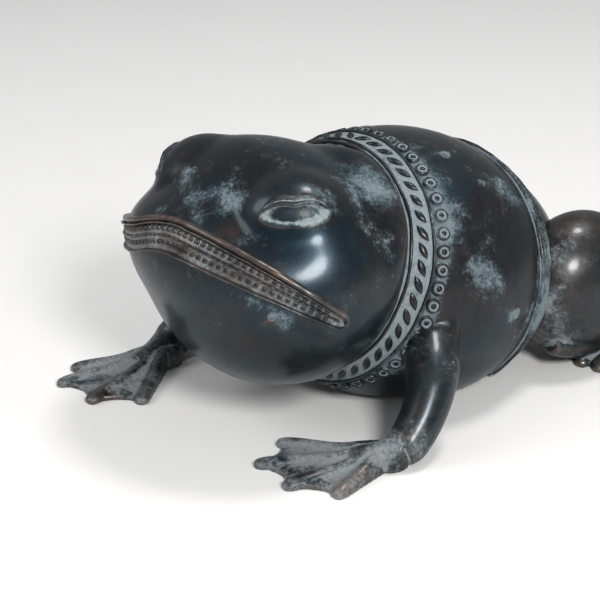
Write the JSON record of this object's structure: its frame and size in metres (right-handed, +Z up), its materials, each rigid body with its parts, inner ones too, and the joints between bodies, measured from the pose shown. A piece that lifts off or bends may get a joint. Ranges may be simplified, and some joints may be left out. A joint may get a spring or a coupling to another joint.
{
  "type": "frog figurine",
  "caption": "Hollow cast bronze frog sitting on webbed feet, with domed eyes, a long toothed mouth band, a leaf and roundel collar and a ribbed belt.",
  "frame": {"origin": "middle of the figure's bounding box, on the ground under its feet", "axes": "+Z up, -Y the way the frog looks, +X the frog's left side"},
  "size_m": [0.1853, 0.251, 0.1269],
  "materials": {
    "shell_bronze": "waxed dark patina, verdigris in hollows",
    "leg_bronze": "waxed dark patina, worn on the toes",
    "collar_bronze": "dark patina with grey-green verdigris",
    "belt_bronze": "dark patina with grey-green verdigris",
    "mouth_bronze": "brown patina, rubbed on the lip",
    "eye_bronze": "waxed dark patina",
    "plain_bronze": "plain cast bronze"
  },
  "bodies": {
    "root": {"head_shell": "shell_bronze", "body_shell": "shell_bronze", "rump_shell": "shell_bronze", "left_foreleg": "leg_bronze", "right_foreleg": "leg_bronze", "left_hind_leg": "leg_bronze", "right_hind_leg": "leg_bronze", "collar_band": "collar_bronze", "collar_front_rail": "collar_bronze", "collar_second_rail": "collar_bronze", "collar_middle_rail": "collar_bronze", "collar_leaves": "collar_bronze", "collar_roundels": "collar_bronze", "belt_band": "belt_bronze", "belt_rail_1": "belt_bronze", "belt_rail_2": "belt_bronze", "belt_rail_3": "belt_bronze", "belt_rail_4": "belt_bronze", "belt_rail_5": "belt_bronze", "mouth_band": "mouth_bronze", "upper_lip": "mouth_bronze", "lower_lip": "mouth_bronze", "mouth_middle_rail": "mouth_bronze", "upper_tooth_row": "mouth_bronze", "lower_tooth_row": "mouth_bronze", "left_eye": "eye_bronze", "right_eye": "eye_bronze", "left_eye_rim": "eye_bronze", "right_eye_rim": "eye_bronze", "left_upper_lid": "eye_bronze", "right_upper_lid": "eye_bronze", "neck_pins": "plain_bronze", "rump_pins": "plain_bronze", "core_plugs": "plain_bronze", "foreleg_cotters": "plain_bronze", "hind_leg_cotters": "plain_bronze", "belly_plate": "plain_bronze", "belly_rivets": "plain_bronze"}
  },
  "joints": []
}
